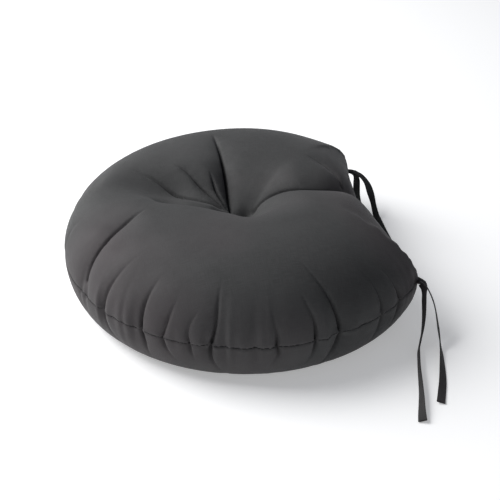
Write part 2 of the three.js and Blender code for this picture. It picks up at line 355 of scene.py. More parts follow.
# How far each tail is rolled from lying level, in degrees, at shares of its length.
TIE_ROLLS = {
    "right_tie_tail_1": (
        (0, 40), (0.05, 60), (0.2, 70), (0.42, 80), (0.6, 78), (0.77, 66), (0.93, 42), (1, 15),
    ),
    "right_tie_tail_2": (
        (0, -30), (0.08, -60), (0.22, -68), (0.37, -81), (0.5, -66), (0.7, -38), (0.9, -15), (1, -12),
    ),
    "left_tie_tail_1": ((0, 0), (0.1, 12), (0.3, 20), (0.6, 8), (1, 3)),
    "left_tie_tail_2": ((0, 0), (0.14, 10), (0.21, 40), (0.28, 72), (0.36, 55), (0.45, 30), (1, 5)),
}
TIE_WIDTH = 9.5 * MM
TIE_THICKNESS = 1.5 * MM
TIE_FOLD_THICKNESS = 2.6 * MM  # where the tape is folded in two, inside the seam
TIE_FLARE = 0.05  # how much wider the hemmed ends are,
HEM_THICKER = 0.25  # and how much thicker
HEM_LENGTH = 4 * MM
STITCHES_AT, STITCHES_WIDTH = 0.62, 0.12  # shares of the tape's half width
STITCHES_PRESS = 0.5  # the share of its thickness that its stitches press in
TIE_STEP = 1.5 * MM
EASING = 8  # steps over which the tape's roll is evened out, each way
TIE_SIDES = 24
FLOOR_GAP = 0.3 * MM


def tape_section(sides):
    """Shares of the half width and half thickness round a folded tape. The line of stitches
    that closes it presses it thin beside one edge."""
    angle = np.arange(sides) / sides * 2 * np.pi
    across = np.sign(np.cos(angle)) * np.abs(np.cos(angle)) ** 0.5
    depth = np.sign(np.sin(angle)) * np.abs(np.sin(angle)) ** 0.6
    pressed = np.exp(-(((across - STITCHES_AT) / STITCHES_WIDTH) ** 2))
    return across, depth * (1 - STITCHES_PRESS * pressed)


def tube_faces(rings, sides, loop=False):
    """Faces of a tube whose corners are numbered ring by ring. A loop joins its own start."""
    faces = []
    for ring in range(rings if loop else rings - 1):
        here, there = ring * sides, (ring + 1) % rings * sides
        for side in range(sides):
            after = (side + 1) % sides
            faces.append((here + side, here + after, there + after, there + side))
    if not loop:
        faces.append(tuple(reversed(range(sides))))
        faces.append(tuple(range((rings - 1) * sides, rings * sides)))
    return faces


def eased(shares, knots):
    """Values at the shares, from (share, value) knots, with the corners rounded off."""
    knots = np.array(knots, float)
    values = np.interp(shares, knots[:, 0], knots[:, 1])
    window = np.hanning(2 * EASING + 1)
    return np.convolve(np.pad(values, EASING, "edge"), window / window.sum(), "valid")


def add_tape(name, line, rolls, thickness):
    """A closed flat tape along the line, resting on the floor where it is low."""
    shares = np.linspace(0, 1, len(line))
    tangent = unit(np.gradient(line, axis=0))
    level = unit(np.cross((0, 0, 1), tangent))
    roll = np.radians(eased(shares, rolls))[:, None]
    across = level * np.cos(roll) + np.cross(tangent, level) * np.sin(roll)
    flat = np.cross(tangent, across)
    share_across, share_depth = tape_section(TIE_SIDES)
    from_end = np.minimum(lengths_along(line), lengths_along(line)[-1] - lengths_along(line))
    hem = np.exp(-from_end / HEM_LENGTH)
    half_width = TIE_WIDTH / 2 * (1 + TIE_FLARE * hem)
    half_depth = thickness / 2 * (1 + HEM_THICKER * hem)
    rings = (
        line[:, None]
        + across[:, None] * (half_width[:, None] * share_across)[:, :, None]
        + flat[:, None] * (half_depth[:, None] * share_depth)[:, :, None]
    )
    lift = np.maximum(FLOOR_GAP - rings[:, :, 2].min(axis=1), 0)
    rings[:, :, 2] += lift[:, None]
    middles = line + lift[:, None] * np.array((0, 0, 1))
    uv = np.stack([
        np.repeat(lengths_along(line), TIE_SIDES),
        np.tile(share_across * TIE_WIDTH / 2, len(line)),
    ], axis=1)
    piece = add_object(
        name, rings.reshape(-1, 3), tube_faces(len(line), TIE_SIDES), TIE_CLOTH, uv,
    )
    return piece, middles


def add_tie_fold(side, corner, exit_angle):
    """The tie's folded middle, caught in the seam at the corner."""
    root = np.array(seam_point(corner))
    exit_way = np.array((math.cos(exit_angle), math.sin(exit_angle), 0))
    inwards = -unit(exit_way + np.array((math.sin(corner), math.cos(corner), 0)))
    route = np.array((
        root + inwards * 7 * MM,
        root + inwards * 3.5 * MM,
        root + exit_way * 1.5 * MM,
        root + exit_way * 5.5 * MM,
    ))
    line = resampled(smooth_curve(route), 1 * MM)
    level = ((0, 0), (1, 0))
    piece, _ = add_tape(f"{side}_tie_loop", line, level, TIE_FOLD_THICKNESS)
    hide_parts(f"{side}_tie_fold")
    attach(piece, "cushion")
    return piece


def add_tie(side, corner, exit_angle):
    fold = add_tie_fold(side, corner, exit_angle)
    for tail in (1, 2):
        node = f"{side}_tie_tail_{tail}"
        line = resampled(smooth_curve(np.array(TIE_ROUTES[node]) * MM), TIE_STEP)
        piece, middles = add_tape(f"{side}_tie_tape_{tail}", line, TIE_ROLLS[node], TIE_THICKNESS)
        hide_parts(node)
        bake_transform(piece)


def seam_distance(angle):
    """From the tuft's axis to the seam. The angle runs from +Y, clockwise from above."""
    from_y = np.abs(np.arctan2(np.sin(angle), np.cos(angle)))
    return RADIUS * np.where(
        from_y < CORNER_ANGLE, math.cos(CORNER_ANGLE) / np.cos(np.minimum(from_y, CORNER_ANGLE)), 1,
    )


def seam_point(angle):
    distance = float(seam_distance(angle))
    return (math.sin(angle) * distance, TUFT_Y + math.cos(angle) * distance, SEAM_Z)


add_tie("right", CORNER_ANGLE, math.radians(18))
add_tie("left", -CORNER_ANGLE, math.radians(45))

# ---- the cover's form ----
# Shares run from 0 at the tuft to 1 at the seam: in plan, or along the cloth.
CROWN_AT = 0.42  # the plan share where the top is highest
TOP_SLOPE_POWER = 1.95  # the lobes rise steeply from the tuft, then level out
TOP_SHOULDER_POWER = 2.8
DIMPLE_TO = 0.20  # the underside's dimple ends here,
DIMPLE_POWER = 1.6
FLAT_TO = 0.82  # and it lies flat on the floor to here
BOTTOM_SHOULDER_POWER = 2.6
SHARES = np.linspace(0, 1, 801)


class Profile:
    """A panel's section from the tuft out to the seam, at even steps along the cloth."""

    def __init__(self, plan, height):
        steps = np.hypot(np.diff(plan * RADIUS), np.diff(height))
        along = np.concatenate([[0], np.cumsum(steps)])
        self.length = along[-1]
        self.plan = np.interp(SHARES * self.length, along, plan)
        self.height = np.interp(SHARES * self.length, along, height)

    def at(self, cloth_share):
        return np.interp(cloth_share, SHARES, self.plan), np.interp(cloth_share, SHARES, self.height)


def shoulder(start, power):
    """Plan shares from start to the seam, close together at the seam, and the fall to it."""
    turn = SHARES[1:] * np.pi / 2
    return start + (1 - start) * np.sin(turn) ** (2 / power), np.cos(turn)


def top_profile():
    slope = SHARES * CROWN_AT
    depth = (CROWN_Z - TUFT_TOP_Z) * (1 - SHARES) ** TOP_SLOPE_POWER
    out, up = shoulder(CROWN_AT, TOP_SHOULDER_POWER)
    height = np.concatenate([CROWN_Z - depth, SEAM_Z + (CROWN_Z - SEAM_Z) * up])
    return Profile(np.concatenate([slope, out]), height)


def bottom_profile():
    dimple = SHARES * DIMPLE_TO
    flat = DIMPLE_TO + (FLAT_TO - DIMPLE_TO) * SHARES[1:]
    out, up = shoulder(FLAT_TO, BOTTOM_SHOULDER_POWER)
    height = np.concatenate([
        TUFT_BOTTOM_Z * (1 - SHARES) ** DIMPLE_POWER, np.zeros(len(flat)), SEAM_Z * (1 - up),
    ])
    return Profile(np.concatenate([dimple, flat, out]), height)


def smooth_step(value):
    clipped = np.clip(value, 0, 1)
    return clipped**2 * (3 - 2 * clipped)


TOP = top_profile()
BOTTOM = bottom_profile()

# Folds in the top: how far the cloth rounds over into each, how deep the slit at its bottom is,
# then plan points from the tuft with the depth of the valley there; all in millimetres.
FOLDS = (
    (13, 7, (
        (-5, -12, 7), (-22, -13, 11), (-44, -13, 13), (-80, -13, 11), (-110, -12, 8),
        (-146, -12, 2),
    )),
    (9, 3, ((-8, -15, 5), (-29, -27, 7), (-54, -33, 2))),
    (12, 4, ((-8, -20, 6), (-33, -41, 9), (-60, -61, 6), (-74, -74, 1))),
    (16, 5, ((-6, -25, 5), (-18, -50, 9), (-38, -78, 12), (-60, -100, 7), (-88, -132, 1))),
    (16, 0, ((2, -14, 4), (6, -32, 8), (4, -60, 14), (-6, -90, 16), (-20, -114, 5))),
    (15, 5, (
        (-3, 8, 4), (-7, 20, 6), (-5, 42, 12), (3, 75, 18), (6, 105, 20), (2, 135, 20),
        (-4, 157, 16), (-7, 170, 8), (-8, 176, 3),
    )),
    (12, 4, ((-60, 98, 1), (-42, 116, 5), (-24, 132, 8), (-9, 143, 9))),
    (14, 3, (
        (30, -128, 1), (37, -142, 4), (46, -158, 7), (56, -176, 8), (70, -199, 8), (77.5, -209, 7),
    )),
    (7, 2, ((9, 3, 7), (18, 7, 5), (32, 12, 3), (46, 16, 1))),
)
# Soft hollows, in the same form, without a slit.
HOLLOWS = (
    (28, ((-8, -34, 5), (-30, -88, 21), (-52, -126, 15), (-72, -162, 0))),
    (13, ((6, -2, 5), (20, -3, 8), (42, -5, 8), (66, -8, 1))),
)
# Gathers where the seam pulls the cloth together: degrees from +Y, clockwise from above, then
# how far up the cloth each runs, its valley's depth, its slit's depth, and its slant.
GATHERS = (
    (50, 0.26, 4, 4, 6), (59, 0.32, 5, 3, 5), (74, 0.40, 7, 6, 9), (82, 0.24, 4, 6, 3),
    (94, 0.17, 2, 5, 1), (112, 0.30, 6, 6, -3), (118, 0.17, 2, 3, -2), (126, 0.21, 3, 3, -5),
    (134, 0.27, 6, 5, -3), (149, 0.36, 5, 2, -8),
)
HIDDEN_GATHERS = (194, 316, 12.4)  # from, to and apart, in degrees, where no photo shows them
HIDDEN_SHIFT = (-3.5, 3.5)
HIDDEN_REACH = (0.14, 0.26)
HIDDEN_DEPTH = (3, 7)
HIDDEN_SLIT = (0.3, 0.7)  # as a share of the depth
HIDDEN_SLANT = (-3, 3)
STRAIGHT_GATHERS = (-27, -15, 10, 24)  # along the straight side, in degrees
STRAIGHT_REACH = (0.10, 0.2)
STRAIGHT_DEPTH = (3, 5)
STRAIGHT_SLIT = 2
STRAIGHT_SLANT = (-1, 1)
GATHER_WIDTH, GATHER_WIDENING = 3, 0.7  # millimetres, and more for each of depth
GATHER_WAVE = math.radians(0.9)
BOTTOM_REACH = 0.6  # how far a gather runs down the bottom, as a share of its reach on top
SEAM_PULL = 0.35  # the share of a gather's depth by which it draws the seam in
COARSE_CELL = 7.7 * MM
FINE_CELL = 5 * MM  # near the tuft and the seam, where the folds are
COARSE_FROM, COARSE_TO = 0.3, 0.78  # the shares between which the cells are coarse
ROW_GAP = 0.87  # between rings of points, in cells: the height of a triangle with equal sides
LEAST_GAP = 0.6 * FINE_CELL  # from a line to the points that aren't on it
SIDE_ROW = 2.2 * MM  # rows of points beside each line, so that its valley can be narrow
LINE_GAP = 0.8  # the least gap between lines, in cells, and between side rows, in rows
SLACK_AT_SEAM = 0.05  # the cloth's edge is this much longer than the seam it is gathered into
BOW = 24 * MM  # how far the straight side is drawn in
LEFT_FLATTENED, RIGHT_FLATTENED = 0.20, 0.30  # of the top's rise, lost at each corner
CORNER_REACH = 75 * MM
rng = np.random.default_rng(7)


def all_gathers():
    start, end, apart = HIDDEN_GATHERS
    gathers = list(GATHERS)
    for angle in np.arange(start, end, apart):
        depth = rng.uniform(*HIDDEN_DEPTH)
        gathers.append((
            angle + rng.uniform(*HIDDEN_SHIFT), rng.uniform(*HIDDEN_REACH), depth,
            depth * rng.uniform(*HIDDEN_SLIT), rng.uniform(*HIDDEN_SLANT),
        ))
    for angle in STRAIGHT_GATHERS:
        gathers.append((
            angle, rng.uniform(*STRAIGHT_REACH), rng.uniform(*STRAIGHT_DEPTH), STRAIGHT_SLIT,
            rng.uniform(*STRAIGHT_SLANT),
        ))
    return gathers


def plan_ways(angles):
    """Directions at angles from +Y, clockwise from above."""
    return np.stack([np.sin(angles), np.cos(angles)], axis=1)


def plan_to_pattern(points):
    """Plan points from the tuft, moved out to where the top panel has them when laid flat."""
    angle = np.arctan2(points[:, 0], points[:, 1])
    rim = seam_distance(angle)
    share = np.interp(np.hypot(*points.T) / rim, TOP.plan, SHARES)
    return plan_ways(angle) * (rim * share)[:, None]


def rim_points(step):
    corner_x = RADIUS * math.sin(CORNER_ANGLE)
    arc = RADIUS * (2 * math.pi - 2 * CORNER_ANGLE)
    angles = np.linspace(CORNER_ANGLE, 2 * math.pi - CORNER_ANGLE, round(arc / step), endpoint=False)
    round_edge = RADIUS * plan_ways(angles)
    across = np.linspace(-corner_x, corner_x, round(2 * corner_x / step), endpoint=False)
    straight = np.stack([across, np.full(len(across), RADIUS * math.cos(CORNER_ANGLE))], axis=1)
    return np.concatenate([round_edge, straight])


def ring_points(rim, cloth_scale):
    """Points on rings inside the rim, closer together near the tuft and the seam."""
    edge = np.linalg.norm(np.diff(rim, axis=0, append=rim[:1]), axis=1).sum()
    points = []
    share = 1 - SIDE_ROW / RADIUS
    while share > 0:
        cell = COARSE_CELL if COARSE_FROM < share < COARSE_TO else FINE_CELL
        count = max(round(edge * share * cloth_scale / cell), 6)
        place = (np.arange(count) + 0.5 * (len(points) % 2)) / count * len(rim)
        before = np.floor(place).astype(int) % len(rim)
        part = (place - np.floor(place))[:, None]
        points.append((rim[before] * (1 - part) + rim[(before + 1) % len(rim)] * part) * share)
        share -= ROW_GAP * cell / cloth_scale / RADIUS
    return np.concatenate([*points, np.zeros((1, 2))])


class Line:
    """A fold or gather as a run of the pattern's points, with its depth along it."""

    def __init__(self, points, depths, width, slit):
        self.points = points
        self.depths = depths
        self.width = width
        self.slits = slit * depths / depths.max()
        self.start = None  # the rim point it starts from, if it starts from one,
        self.start_depth = 0  # and its depth there
        self.vertices = []

    def chain(self, rim):
        """The line's points and depths with the rim point it starts from."""
        if self.start is None:
            return self.points, self.depths
        first = self.start_depth * SEAM_PULL
        return np.vstack([rim[self.start], self.points]), np.concatenate([[first], self.depths])


def plan_curve(points, step):
    """A smooth curve through plan points in the flat pattern, with a depth at each step."""
    curve = smooth_curve(np.array(points) * MM)
    flat = plan_to_pattern(curve[:, :2])
    along = lengths_along(flat)
    even = resampled(flat, step)
    places = np.linspace(0, along[-1], len(even))
    return even, np.interp(places, along, curve[:, 2])


def fold_lines(step):
    lines = []
    for width, slit, points in FOLDS:
        pattern, depths = plan_curve(points, step)
        lines.append(Line(pattern, depths, width * MM, slit * MM))
    return lines


def gather_lines(gathers, rim, step, reach_share):
    """Each starts on the rim point that is nearest to its angle."""
    lines = []
    rim_angles = np.arctan2(rim[:, 0], rim[:, 1])
    for angle, reach, depth, slit, slant in gathers:
        gap = np.abs(np.angle(np.exp(1j * (rim_angles - math.radians(angle)))))
        start = int(np.argmin(gap))
        length = reach * reach_share
        shares = np.linspace(0, 1, max(round(length * RADIUS / step), 3) + 1)
        wave = rng.uniform(-GATHER_WAVE, GATHER_WAVE) * np.sin(1.5 * np.pi * shares)
        angles = rim_angles[start] + math.radians(slant) * shares**1.5 + wave
        distance = seam_distance(angles) * (1 - length * shares)
        points = plan_ways(angles) * distance[:, None]
        depths = depth * MM * (1 - shares) ** 0.8 * (0.55 + 0.45 * np.cos(np.pi * shares))
        width = (GATHER_WIDTH + GATHER_WIDENING * depth) * MM
        line = Line(points[1:], depths[1:], width, slit * MM)
        line.start = start
        line.start_depth = depth * MM
        lines.append(line)
    return lines


def kept_apart(lines, gap):
    """Each line gives way where it comes near an earlier one, so that none cross."""
    taken = np.full((1, 2), np.inf)
    for line in lines:
        clear = nearest_gap(line.points, taken) > gap
        first = int(np.argmax(clear))
        last = len(clear) if clear[first:].all() else first + int(np.argmin(clear[first:]))
        line.points = line.points[first:last]
        line.depths = line.depths[first:last]
        line.slits = line.slits[first:last]
        taken = np.vstack([taken, line.points])
    return lines


def nearest_gap(points, others):
    return np.linalg.norm(points[:, None] - others[None], axis=2).min(axis=1)


def side_rows(rim, lines, on_lines):
    """Points on both sides of each line, where they aren't too near another line's."""
    rows = []
    for line in lines:
        along = unit(np.gradient(line.points, axis=0))
        normal = np.stack([-along[:, 1], along[:, 0]], axis=1)
        rows += [line.points + normal * SIDE_ROW, line.points - normal * SIDE_ROW]
    kept = np.empty((0, 2))
    fixed = np.concatenate([rim, on_lines])
    for point in np.concatenate(rows):
        angle = np.arctan2(point[0], point[1])
        inside = np.hypot(*point) < seam_distance(angle) - SIDE_ROW
        others = np.concatenate([fixed, kept])
        if inside and np.linalg.norm(others - point, axis=1).min() > LINE_GAP * SIDE_ROW:
            kept = np.vstack([kept, point])
    return kept


def triangulated(rim, lines, cloth_scale):
    """The flat pattern's points and triangles, with edges along the rim and each line."""
    on_lines = np.concatenate([line.points for line in lines])
    beside = side_rows(rim, lines, on_lines)
    inside = ring_points(rim, cloth_scale)
    gap = nearest_gap(inside, np.concatenate([on_lines, beside]))
    inside = np.concatenate([inside[gap > LEAST_GAP], beside])
    points = np.concatenate([rim, inside, on_lines])
    edges = [(i, (i + 1) % len(rim)) for i in range(len(rim))]
    first = len(rim) + len(inside)
    for line in lines:
        line.vertices = list(range(first, first + len(line.points)))
        first += len(line.points)
        chain = line.vertices if line.start is None else [line.start, *line.vertices]
        edges += zip(chain, chain[1:])
    found, _, faces, *_ = delaunay_2d_cdt([Vector(p) for p in points], edges, [], 1, 1e-7)
    if len(found) != len(points):
        raise RuntimeError("two folds of the pattern cross")
    flat = np.array([tuple(v) for v in found])
    faces = np.array(faces)
    first_side = flat[faces[:, 1]] - flat[faces[:, 0]]
    second_side = flat[faces[:, 2]] - flat[faces[:, 0]]
    under = first_side[:, 0] * second_side[:, 1] < first_side[:, 1] * second_side[:, 0]
    faces[under] = faces[under][:, ::-1]
    return flat, faces


def nearest_on(points, chain, values):
    """Each point's distance to a chain of points, and the chain's value at the nearest place."""
    gap = np.full(len(points), np.inf)
    value = np.zeros(len(points))
    for a, b, value_a, value_b in zip(chain, chain[1:], values, values[1:]):
        along = np.clip((points - a) @ (b - a) / ((b - a) @ (b - a)), 0, 1)
        distance = np.linalg.norm(points - a - along[:, None] * (b - a), axis=1)
        nearer = distance < gap
        gap[nearer] = distance[nearer]
        value[nearer] = (value_a + (value_b - value_a) * along)[nearer]
    return gap, value


TUFT_REACH = 50 * MM  # inside it the valleys narrow towards the tuft,
NARROWEST = 0.3  # to this share of their width


def hollow_lines(step):
    return [(width * MM, *plan_curve(points, step)) for width, points in HOLLOWS]


class Panel:
    """One panel of the cover: its flat pattern, the form it takes, and the form it has slack."""

    def __init__(self, profile, rim, lines, upright, hollows):
        self.lines = lines
        self.flat, self.faces = triangulated(rim, lines, profile.length / RADIUS)
        self.angle = np.arctan2(self.flat[:, 0], self.flat[:, 1])
        self.rim = seam_distance(self.angle)
        self.share = np.clip(np.hypot(*self.flat.T) / self.rim, 0, 1)
        self.plan, height = profile.at(self.share)
        if upright > 0:
            height = SEAM_Z + (height - SEAM_Z) * (1 - self.flattened())
        self.formed = self.placed(self.plan * self.rim, height)
        sunk = self.valleys()
        for width, chain, depths in hollows:
            gap, here = nearest_on(self.flat, chain, depths)
            sunk += here * np.exp(-((gap / width) ** 2))
        self.formed -= self.outward(profile, upright) * sunk[:, None]
        self.unfilled = self.cut_cloth(profile.length, upright)
        bow = self.bow()
        for points in (self.formed, self.unfilled):
            points[:, 1] -= bow
        self.cloth = self.flat * profile.length / RADIUS

    def placed(self, distance, height):
        return np.stack([
            np.sin(self.angle) * distance, TUFT_Y + np.cos(self.angle) * distance, height,
        ], axis=1)

    def flattened(self):
        """The share of the top's rise that is lost near either end of the straight side."""
        corner = RADIUS * np.array((math.sin(CORNER_ANGLE), math.cos(CORNER_ANGLE)))
        away = np.hypot(np.abs(self.flat[:, 0]) - corner[0], self.flat[:, 1] - corner[1])
        lost = np.where(self.flat[:, 0] > 0, RIGHT_FLATTENED, LEFT_FLATTENED)
        return lost * np.exp(-((away / CORNER_REACH) ** 2))

    def outward(self, profile, upright):
        """The form's normals, from the slope of its profile."""
        near, far = (profile.at(np.clip(self.share + d, 0, 1)) for d in (-0.01, 0.01))
        run = (far[0] - near[0]) * RADIUS
        out = -(far[1] - near[1]) * upright
        normals = np.stack([
            np.sin(self.angle) * out, np.cos(self.angle) * out, run * upright,
        ], axis=1)
        return unit(normals)

    def cut_cloth(self, length, upright):
        """The panel as cut: nearly a flat disc, whose edge both panels share when sewn."""
        edge_loss = 1 - RADIUS * (1 + SLACK_AT_SEAM) / length
        radius = length * self.share * (1 - edge_loss * self.share**2)
        growth = length * (1 - 3 * edge_loss * self.share**2)
        slope = np.sqrt(np.maximum(length**2 - growth**2, 0))
        return self.placed(radius * self.rim / RADIUS, -upright * slope * self.share / 3)

    def valleys(self):
        """How far each point sinks into the folds and gathers near it."""
        depth = np.zeros(len(self.flat))
        narrowing = np.clip(np.hypot(*self.flat.T) / TUFT_REACH, NARROWEST, 1)
        for line in self.lines:
            chain, depths = line.chain(self.flat)
            gap, here = nearest_on(self.flat, chain, depths)
            depth = np.maximum(depth, here * np.exp(-gap / (line.width * narrowing)))
        return depth

    def bow(self):
        """How far the straight side is drawn in between its corners."""
        corner_x = RADIUS * math.sin(CORNER_ANGLE)
        along = np.clip((self.formed[:, 0] + corner_x) / (2 * corner_x), 0, 1)
        amount = BOW * np.sin(np.pi * along) ** 0.8
        return np.where(np.abs(self.angle) < CORNER_ANGLE, amount * self.plan**3, 0)


def make_panels():
    gathers = all_gathers()
    step = FINE_CELL * RADIUS / TOP.length
    rim = rim_points(step)
    gap = LINE_GAP * step
    top_lines = kept_apart(fold_lines(step) + gather_lines(gathers, rim, step, 1.0), gap)
    top = Panel(TOP, rim, top_lines, 1, hollow_lines(step))
    bottom_lines = kept_apart(gather_lines(gathers, rim, step, BOTTOM_REACH), gap)
    bottom = Panel(BOTTOM, rim, bottom_lines, -1, [])
    return top, bottom, len(rim)


FRAMES = 30  # of the cloth simulation, by when it has come to rest
HELD = 0.34  # the goal weight of cloth that is free to swell
HELD_AT_TUFT = 0.48  # and of cloth near the tuft,
HELD_FROM, HELD_OVER = 0.6, 0.3  # from this plan share, over this much of it
HELD_AT_SEAM = 0.60
PRESSED = 1.0  # and of what the floor, the tuft and the stitches hold
FULL_FOLD = 3 * MM  # from this depth a fold is held at its bottom, and stays sharp
TUFT_EDGE = 0.02  # the plan share that the tuft itself takes up
TIE_HALF_ANGLE = math.radians(1.5)  # half of the seam that each tie holds at its corner


def joined(top, bottom, rim_count):
    """Both panels' points, with the seam's own points once, midway between the two."""
    seam = (top[:rim_count] + bottom[:rim_count]) / 2
    return np.concatenate([seam, top[rim_count:], bottom[rim_count:]])


def goal_weights(top, bottom, rim_count):
    weights = [
        HELD + (HELD_AT_TUFT - HELD) * smooth_step((HELD_FROM - panel.plan) / HELD_OVER)
        for panel in (top, bottom)
    ]
    weights[0][:rim_count] = HELD_AT_SEAM
    for panel, weight in zip((top, bottom), weights):
        weight[panel.plan < TUFT_EDGE] = PRESSED
        for line in panel.lines:
            strength = np.clip(line.depths / FULL_FOLD, 0, 1)
            weight[line.vertices] = np.maximum(weight[line.vertices], PRESSED * strength)
            if line.start is not None:
                weights[0][line.start] = PRESSED
    weights[1][bottom.plan < FLAT_TO - TUFT_EDGE] = PRESSED
    corners = np.abs(np.abs(top.angle[:rim_count]) - CORNER_ANGLE) < TIE_HALF_ANGLE
    weights[0][:rim_count][corners] = PRESSED
    return np.concatenate([weights[0], weights[1][rim_count:]])


def set_fabric(settings):
    """Light, supple woven cloth, blown up from inside, with no weight of its own."""
    settings.quality = 6
    settings.mass = 0.002
    settings.air_damping = 2
    settings.tension_stiffness = settings.compression_stiffness = 20
    settings.shear_stiffness = 10
    settings.bending_stiffness = 0.02
    settings.tension_damping = settings.compression_damping = settings.shear_damping = 2
    settings.bending_damping = 0.2
    settings.use_pressure = True
    settings.uniform_pressure_force = 8
    settings.pin_stiffness = 1
    settings.effector_weights.gravity = 0


def inflated(start, slack, faces, weights):
    """The sewn cloth swells on its filling: a cloth simulation, applied to the mesh."""
    cloth = add_object("cloth_sim", start, faces)
    cloth.shape_key_add(name="formed")
    unfilled = cloth.shape_key_add(name="unfilled")
    unfilled.data.foreach_set("co", slack.ravel())
    unfilled.value = 0
    group = cloth.vertex_groups.new(name="held")
    weights = np.round(weights, 2)
    for weight in np.unique(weights):
        group.add(np.flatnonzero(weights == weight).tolist(), float(weight), "REPLACE")
    modifier = cloth.modifiers.new("Cloth", "CLOTH")
    set_fabric(modifier.settings)
    modifier.settings.vertex_group_mass = group.name
    modifier.settings.rest_shape_key = unfilled
    modifier.collision_settings.use_collision = False
    modifier.collision_settings.use_self_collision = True
    modifier.collision_settings.self_distance_min = 1.0 * MM
    modifier.point_cache.frame_end = FRAMES
    for step in range(1, FRAMES + 1):
        bpy.context.scene.frame_set(step)
    graph = bpy.context.evaluated_depsgraph_get()
    swollen = bpy.data.meshes.new_from_object(cloth.evaluated_get(graph))
    points = vertex_positions(swollen)
    bpy.data.objects.remove(cloth)
    bpy.data.meshes.remove(swollen)
    bpy.context.scene.frame_set(1)
    points[:, 2] = np.maximum(points[:, 2], 0)
    return points


CLOTH_THICKNESS = 0.8 * MM
SEAM_SHARPNESS = 0.6  # the crease weight of the seam's edges


def whole_chains(panels, rim_count):
    """Each line's points as numbers of the whole cover's, with the depth of its slit."""
    chains = []
    offsets = (0, len(panels[0].flat) - rim_count)
    for panel, offset in zip(panels, offsets):
        for line in panel.lines:
            chain = [vertex + offset for vertex in line.vertices]
            slits = list(line.slits)
            if line.start is not None:
                chain.insert(0, line.start)
                slits.insert(0, line.slits[0])
            chains.append((chain, slits))
    return chains


def edge_creases(mesh, chains, rim_count):
    """Folds, gathers and the seam stay sharp when the mesh is subdivided."""
    sharpness = {}
    for chain, slits in chains:
        for a, b, slit in zip(chain, chain[1:], slits):
            sharpness[frozenset((a, b))] = min(slit / FULL_FOLD, 1.0)
    for vertex in range(rim_count):
        sharpness[frozenset((vertex, (vertex + 1) % rim_count))] = SEAM_SHARPNESS
    ends = edge_ends(mesh)
    values = [sharpness.get(frozenset(pair), 0.0) for pair in ends.tolist()]
    mesh.attributes.new("crease_edge", "FLOAT", "EDGE").data.foreach_set("value", values)


SLIT_WIDTH = 3.2 * MM
SEAM_GROOVE = 1.0 * MM
CARVING_ROUNDS = 6  # of smoothing, for the directions that the slits are pressed in
FLOOR_FADE = 6 * MM  # below this height the carving fades out towards the floor
# Small puckers between the gathers: how many, and the limits of their reach, width and height.
PUCKERS = 130
PUCKER_REACH = (9 * MM, 36 * MM)
PUCKER_WIDTH = (2.4 * MM, 6 * MM)
PUCKER_HEIGHT = (-2.8 * MM, 1.5 * MM)
FILLING_REACH = 14 * MM  # how far on each side of a slit the filling gives way to it


def slit_depths(points, chains, rim_count, width):
    """How deep the slits near each point reach there, fading out over the width."""
    places, depths = [], []
    rim = list(range(rim_count)) + [0]
    for chain, slits in [*chains, (rim, [SEAM_GROOVE] * len(rim))]:
        shares = np.linspace(0, len(chain) - 1, 5 * (len(chain) - 1) + 1)
        steps = np.arange(len(chain))
        ends = points[chain]
        places.append(np.stack([np.interp(shares, steps, ends[:, k]) for k in range(3)], axis=1))
        depths.append(np.interp(shares, steps, slits))
    places, depths = np.concatenate(places), np.concatenate(depths)
    tree = KDTree(len(places))
    for index, place in enumerate(places):
        tree.insert(place, index)
    tree.balance()
    result = np.zeros(len(points))
    for index, point in enumerate(points):
        for _, found, distance in tree.find_range(point, width):
            result[index] = max(result[index], depths[found] * (1 - distance / width) ** 1.5)
    return result


def pucker_heights(angle, from_seam):
    height = np.zeros(len(angle))
    for _ in range(PUCKERS):
        middle = rng.uniform(-math.pi, math.pi)
        reach = rng.uniform(*PUCKER_REACH)
        width = rng.uniform(*PUCKER_WIDTH)
        rise = rng.uniform(*PUCKER_HEIGHT)
        aside = np.angle(np.exp(1j * (angle - middle))) * RADIUS
        height += rise * np.exp(-((aside / width) ** 2) - (from_seam / reach) ** 1.5)
    return height


def soft_normals(mesh, rounds):
    ends = edge_ends(mesh)
    normals = vertex_normals(mesh)
    for _ in range(rounds):
        normals = unit(normals + neighbour_mean(normals, ends))
    return normals


def carve(mesh, chains, rim_count):
    """Press the slits, the seam's groove and the puckers into the finished cover."""
    points = vertex_positions(mesh)
    plan = points[:, :2] - (0, TUFT_Y)
    angle = np.arctan2(plan[:, 0], plan[:, 1])
    from_seam = np.hypot(seam_distance(angle) - np.hypot(*plan.T), points[:, 2] - SEAM_Z)
    rise = pucker_heights(angle, from_seam)
    rise -= slit_depths(points, chains, rim_count, SLIT_WIDTH)
    rise *= np.clip(points[:, 2] / FLOOR_FADE, 0, 1)
    normals = soft_normals(mesh, CARVING_ROUNDS)
    mesh.vertices.foreach_set("co", (points + normals * rise[:, None]).ravel())
    mesh.update()


def add_fold_attribute(mesh):
    """How sharply the cloth bends at each point: above 0 on ridges and below 0 in valleys."""
    positions, ends = vertex_positions(mesh), edge_ends(mesh)
    offset = positions - neighbour_mean(positions, ends)
    spacing = np.linalg.norm(positions[ends[:, 0]] - positions[ends[:, 1]], axis=1).mean()
    bend = (offset * vertex_normals(mesh)).sum(axis=1) / spacing**2 * (4 * MM)
    for _ in range(2):
        bend = (bend + neighbour_mean(bend, ends)) / 2
    values = np.clip(bend, -1, 1)
    # The cover's material uses this to paint shade into the valleys and, together with wear, highlight
    # onto the ridges.
    mesh.attributes.new("fold", "FLOAT", "POINT").data.foreach_set("value", values)


